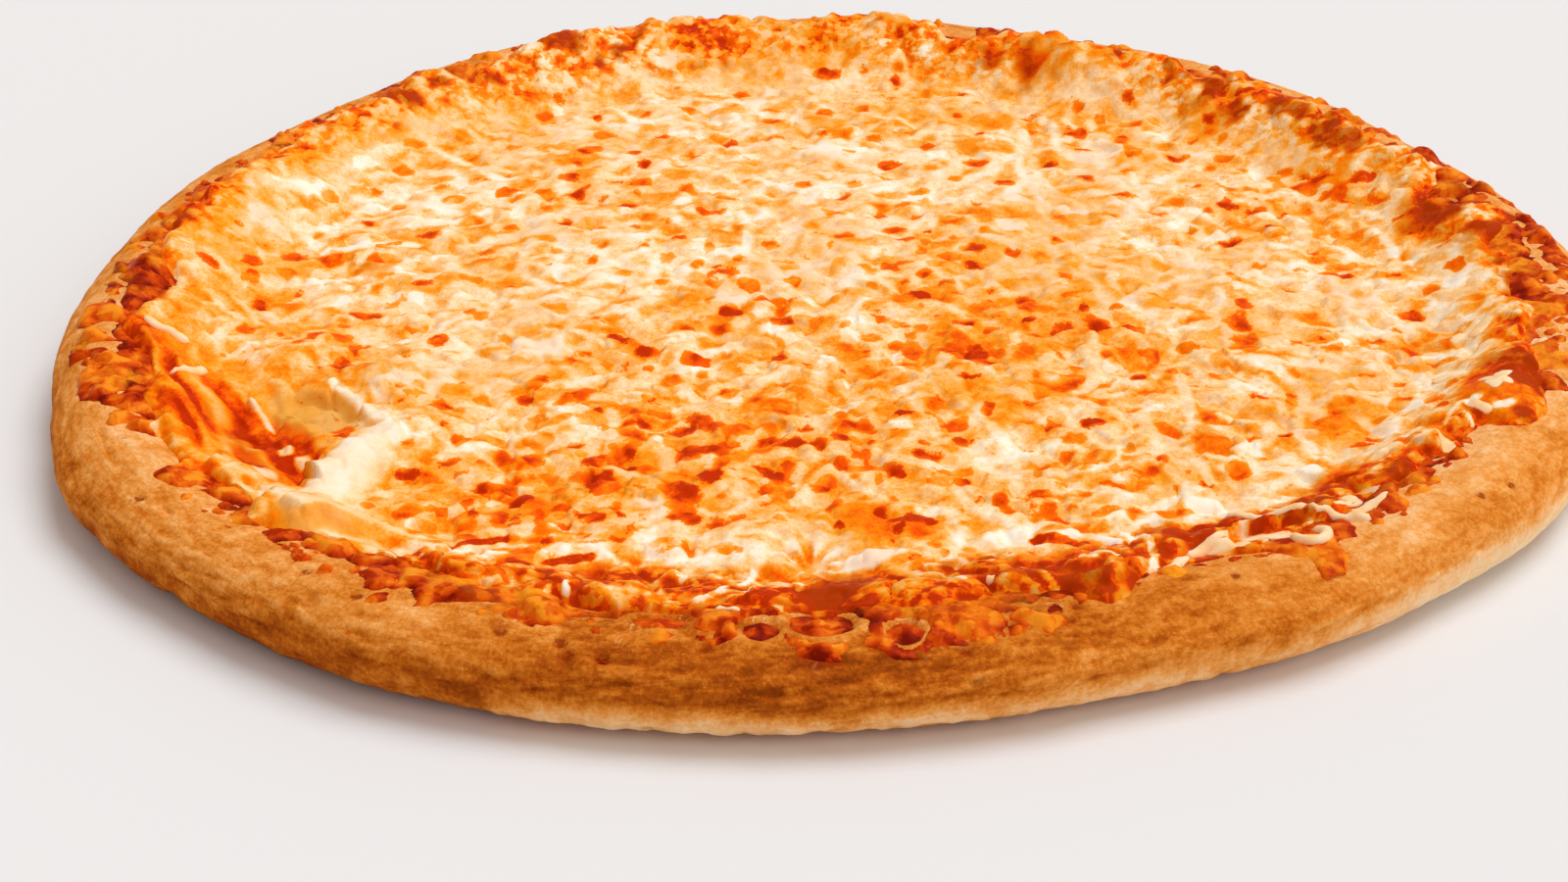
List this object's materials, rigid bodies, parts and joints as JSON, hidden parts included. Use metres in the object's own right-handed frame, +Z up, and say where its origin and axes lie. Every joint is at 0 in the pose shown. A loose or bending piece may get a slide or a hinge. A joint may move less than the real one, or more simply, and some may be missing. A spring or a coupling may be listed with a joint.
{
  "type": "cheese pizza",
  "caption": "Whole round cheese pizza with a thick puffed rim, a band of red sauce and an uneven melted cheese top.",
  "frame": {"origin": "middle of the flat underside, on the surface that the pizza rests on", "axes": "+Z up through the pizza, -Y toward the viewer of the picture, +X to the viewer's right"},
  "size_m": [0.3525, 0.361, 0.026],
  "materials": {
    "crust": "baked dough, matte, golden tan with floury grain",
    "sauce": "wet orange-red tomato sauce with oil, glossy",
    "cheese": "melted mozzarella, creamy with orange spots, soft gloss"
  },
  "bodies": {
    "root": {"crust": "crust", "sauce": "sauce", "cheese": "cheese"}
  },
  "joints": []
}
